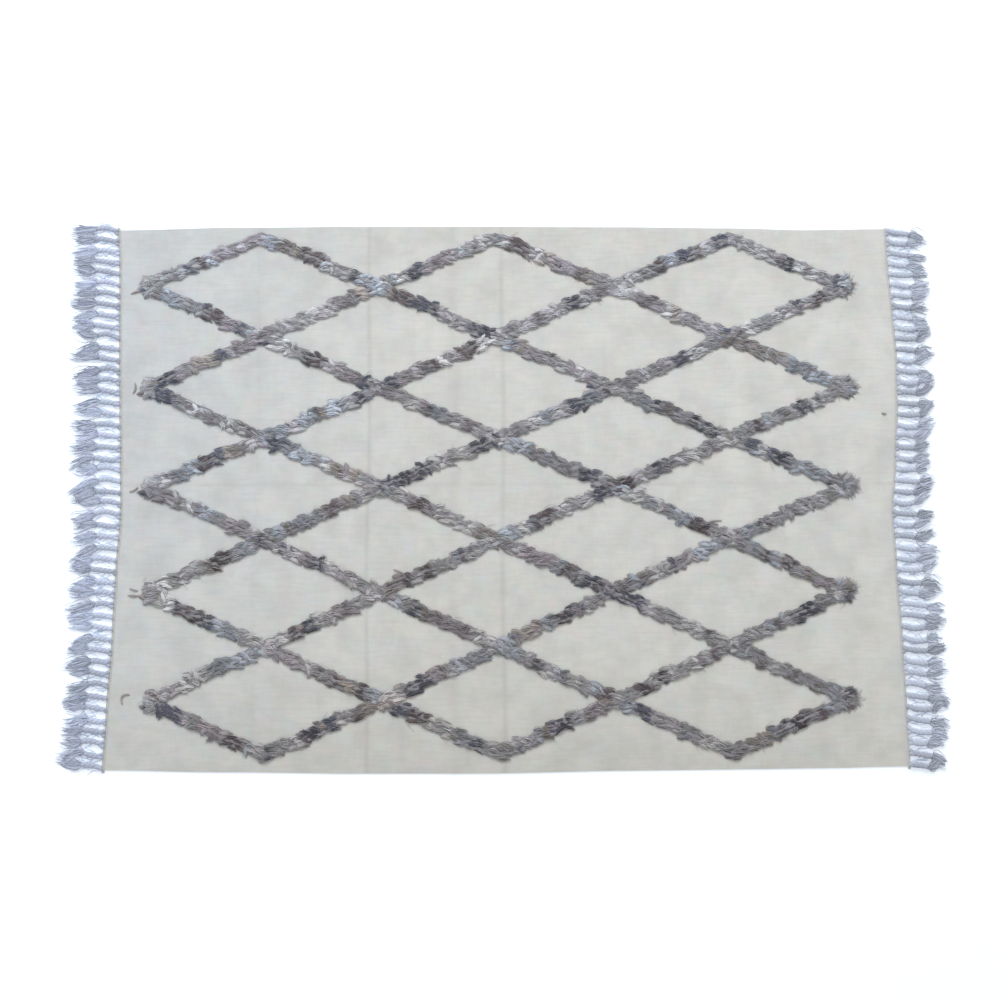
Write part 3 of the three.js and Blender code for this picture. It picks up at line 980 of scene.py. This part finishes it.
def cords(ends):
    """The plied cords, from the heading to the knots, a batch for each ply."""
    share = np.linspace(-0.03, 1.02, CORD.tube.rings)[None, :] * ends.knot_at[:, None]
    batches = []
    for ply in range(CORD.plies):
        x, y = warp_places(ends, ends.number, share)
        turn = share * ends.long[:, None] / CORD.twist * 2 * math.pi
        turn = turn + ply * 2 * math.pi / CORD.plies + ends.number[:, None]
        splay = (ply - 1) * CORD.splay * np.clip(1 - share / CORD.splay_long, 0, 1.2) ** 2
        y = y + ends.girth * CORD.turn * np.cos(turn) + splay
        z = ends.girth * CORD.flat * (CORD.radius + CORD.turn * (1.05 + np.sin(turn)))
        radii = np.full(z.shape, ends.girth * CORD.radius)
        dyes = ends.wool * ends.tone[:, None]
        batches.append(yarns(CORD.tube, line(x, y, z), radii, dyes, flat=CORD.flat))
    return batches


def knots(ends):
    """The overhand knot at the end of each cord, as yarn wound round it."""
    spin = np.linspace(0, 1, KNOT.tube.rings)[None, :]
    x, y = warp_places(ends, ends.number, ends.knot_at[:, None])
    turn = spin * KNOT.turns * 2 * math.pi + ends.number[:, None]
    x = x + ends.side * (spin - 0.5) * KNOT.long
    y = y + KNOT.radius * np.cos(turn)
    z = KNOT.radius * (1.42 + 0.75 * np.sin(turn))
    radii = np.full(z.shape, KNOT.yarn)
    # Painted shade: the knots a little darker than their cords.
    dyes = ends.wool * ends.tone[:, None] * 0.85
    return yarns(KNOT.tube, line(x, y, z), radii, dyes, upward=(1, 0, 0))


def swollen_ends(ends, draw):
    """The soft bodies of the cords' ends, beyond the knots."""
    picked = np.repeat(ends.number, SWELL.each)
    each = (len(picked), 1)
    share = np.linspace(0, 1, SWELL.tube.rings)[None, :]
    reach = draw.uniform(0.75, 1.0, each)
    fan = frayed_fan(SWELL, each, draw)
    wave = frayed_wave(SWELL, share, each, draw)
    x, y = frayed_places(ends, SWELL, picked, share, reach, fan, wave)
    radii = profile(share, [(0, 0.6), (0.2, 0.95), (0.7, 0.95), (1, 0.25)]) * draw.uniform(0.75, 1.15, each)
    radii = radii * SWELL.half
    z = SWELL.flat * radii + draw.uniform(0.1 * MM, 0.8 * MM, each)
    dyes = frayed_dyes(ends, SWELL, picked, draw)
    return yarns(SWELL.tube, line(x, y, z), radii, dyes, flat=SWELL.flat)


def loose_plies(ends, draw):
    """The cords' plies that have come apart beyond the knots."""
    picked = np.repeat(ends.number, PLIES.each)
    each = (len(picked), 1)
    share = np.linspace(0, 1, PLIES.tube.rings)[None, :]
    fan = frayed_fan(PLIES, each, draw)
    reach = draw.uniform(0.7, 1.1, each)
    wave = frayed_wave(PLIES, share, each, draw)
    x, y = frayed_places(ends, PLIES, picked, share, reach, fan, wave)
    height = profile(share, [(0, 3.8), (0.3, 3.4), (1, 2.0)]) * draw.uniform(0.9, 1.5, each)
    radii = profile(share, [(0, 0.8), (0.3, 1.0), (0.75, 0.9), (1, 0.35)]) * draw.uniform(0.8, 1.1, each)
    radii = radii * PLIES.radius
    z = height * MM + radii * 0.4
    dyes = frayed_dyes(ends, PLIES, picked, draw)
    return yarns(PLIES.tube, line(x, y, z), radii, dyes)


def tufts(ends, draw):
    """The fine yarns that each warp end frays into, highest behind the knot."""
    picked = np.repeat(ends.number, TUFT.each)
    each = (len(picked), 1)
    share = np.linspace(0, 1, TUFT.tube.rings)[None, :]
    reach = draw.uniform(0.55, 1.12, each)
    fan = np.clip(draw.normal(0, TUFT.fan, each), -1, 1)
    fan = fan * np.where(draw.random(each) < TUFT.astray["share"], TUFT.astray["fan"], 1)
    wave = draw.normal(0, TUFT.wave, each) * np.sin(share * math.pi * TUFT.waves)
    x, y = frayed_places(ends, TUFT, picked, share, reach, fan, wave)
    rise = TUFT.root_tall * (1 - share) + TUFT.tall * share * (1 - TUFT.sink * share)
    z = TUFT.radius * 0.9 + rise * draw.uniform(0.3, 1.0, each)
    radii = TUFT.radius * profile(share, [(0, 0.9), (0.5, 1.0), (1, 0.35)]) * np.ones(each)
    dyes = frayed_dyes(ends, TUFT, picked, draw)
    return yarns(TUFT.tube, line(x, y, z), radii, dyes)


def fluff_and_gap_shade(ends, draw):
    """Pale loose fibre on the floor between the cords, dyed light blue as painted shade of the floor there.
    """
    picked = np.repeat(ends.number, FLUFF_AND_GAP_SHADE.each)
    each = (len(picked), 1)
    rings = FLUFF_AND_GAP_SHADE.tube.rings
    spin = np.linspace(0, 1, rings)
    x, y = warp_places(ends, picked, draw.uniform(-0.02, 0.4, each) * np.ones((1, rings)))
    y = y + draw.uniform(-FLUFF_AND_GAP_SHADE.spread, FLUFF_AND_GAP_SHADE.spread, each)
    heading = draw.normal(0, FLUFF_AND_GAP_SHADE.turn, each) + draw.normal(0, FLUFF_AND_GAP_SHADE.curl, each) * spin
    step = FLUFF_AND_GAP_SHADE.long * draw.uniform(0.5, 1.3, each) / rings
    x = x + ends.side * (step * np.cumsum(np.cos(heading), axis=1) - 0.5 * step)
    y = y + step * np.cumsum(np.sin(heading), axis=1)
    z = draw.uniform(1.3, 2.4, each) * MM * profile(spin, [(0, 1.0), (0.5, 0.9), (1, 0.75)])
    radii = FLUFF_AND_GAP_SHADE.radius * profile(spin, [(0, 0.8), (0.4, 1.0), (1, 0.4)]) * draw.uniform(0.6, 1.1, each)
    dyes = np.array([FLUFF_AND_GAP_SHADE.dye[:3]]) * np.ones(each)
    return yarns(FLUFF_AND_GAP_SHADE.tube, line(x, y, z), radii, dyes, flat=FLUFF_AND_GAP_SHADE.flat)


def heading_wefts(side, draw):
    """The three thick wefts that lock the end of the weave."""
    y = np.linspace(-0.699, 0.6995, HEADING.tube.rings)
    batches = []
    for pick in range(HEADING.picks):
        x = heading_edge(side, y) - side * (HEADING.radius + 0.1 * MM + pick * HEADING.space)
        z = HEADING.tall + draw.uniform(-HEADING.uneven, HEADING.uneven, len(y))
        radii = HEADING.radius * draw.uniform(0.94, 1.05, (1, len(y)))
        dyes = np.array(HEADING.dye[:3]) * draw.uniform(0.96, 1.0, (1, 1))
        batches.append(yarns(HEADING.tube, line(x, y, z)[None], radii, dyes))
    return batches


# The last colour of each yarn finish is the painted shade in its grooves.
fringe_wool = yarn_finish("fringe_wool", 0.95, 0.2, 9 * MM, dye(128, 134, 156))
heading_wool = yarn_finish("heading_wool", 0.95, 0.2, 9 * MM, dye(186, 185, 183))
fringe_draw = np.random.default_rng(FRINGE_SEED)
for rug_end in RUG_ENDS:
    node = f"fringe_{rug_end.name}"
    ends = warp_ends(rug_end, fringe_draw)
    batches = [
        *cords(ends),
        knots(ends),
        swollen_ends(ends, fringe_draw),
        loose_plies(ends, fringe_draw),
        tufts(ends, fringe_draw),
        fluff_and_gap_shade(ends, fringe_draw),
    ]
    fringe_mesh = yarn_mesh(f"{node}_yarns", batches)
    heading_mesh = yarn_mesh(f"{node}_heading", heading_wefts(rug_end.side, fringe_draw))
    add_piece(fringe_mesh, "fringe_wool", fringe_wool, node)
    add_piece(heading_mesh, "fringe_wool", heading_wool, node)


# Studio. A plain pale floor under wide soft light from above and the far left.
FLOOR_HALF = 6.0
floor_mesh = bpy.data.meshes.new("floor")
floor_bm = bmesh.new()
bmesh.ops.create_grid(floor_bm, x_segments=2, y_segments=2, size=FLOOR_HALF)
bmesh.ops.translate(floor_bm, verts=floor_bm.verts[:], vec=(0, 0, -0.5 * MM))
floor_bm.to_mesh(floor_mesh)
floor_bm.free()
floor = bpy.data.objects.new("floor", floor_mesh)
scene.collection.objects.link(floor)
floor_finish = Finish("floor", 0.9, 0.0, 0.0)
floor_finish.show("Base Color", dye(230, 241, 250))
floor_finish.show("Emission Color", dye(255, 253, 253))
floor_finish.show("Emission Strength", 0.33)
floor_mesh.materials.append(floor_finish.material)

world = bpy.data.worlds.new("studio")
world.use_nodes = True
sky = world.node_tree.nodes["Background"].inputs
sky["Color"].default_value = dye(250, 250, 252)
sky["Strength"].default_value = 0.61
scene.world = world

WINDOWS = [
    {"name": "soft_sky", "place": (-2.4, 5.0, 5.0), "size": 4.0, "power": 262},
    {"name": "soft_window", "place": (0.7, 2.9, 2.5), "size": 1.8, "power": 36},
]
for window in WINDOWS:
    light = bpy.data.lights.new(window["name"], "AREA")
    light.size = window["size"]
    light.energy = window["power"]
    light.color = (0.965, 0.985, 1.0)
    holder = bpy.data.objects.new(window["name"], light)
    holder.location = window["place"]
    holder.rotation_euler = (-Vector(window["place"])).to_track_quat("-Z", "Y").to_euler()
    scene.collection.objects.link(holder)

scene.view_settings.view_transform = "Standard"
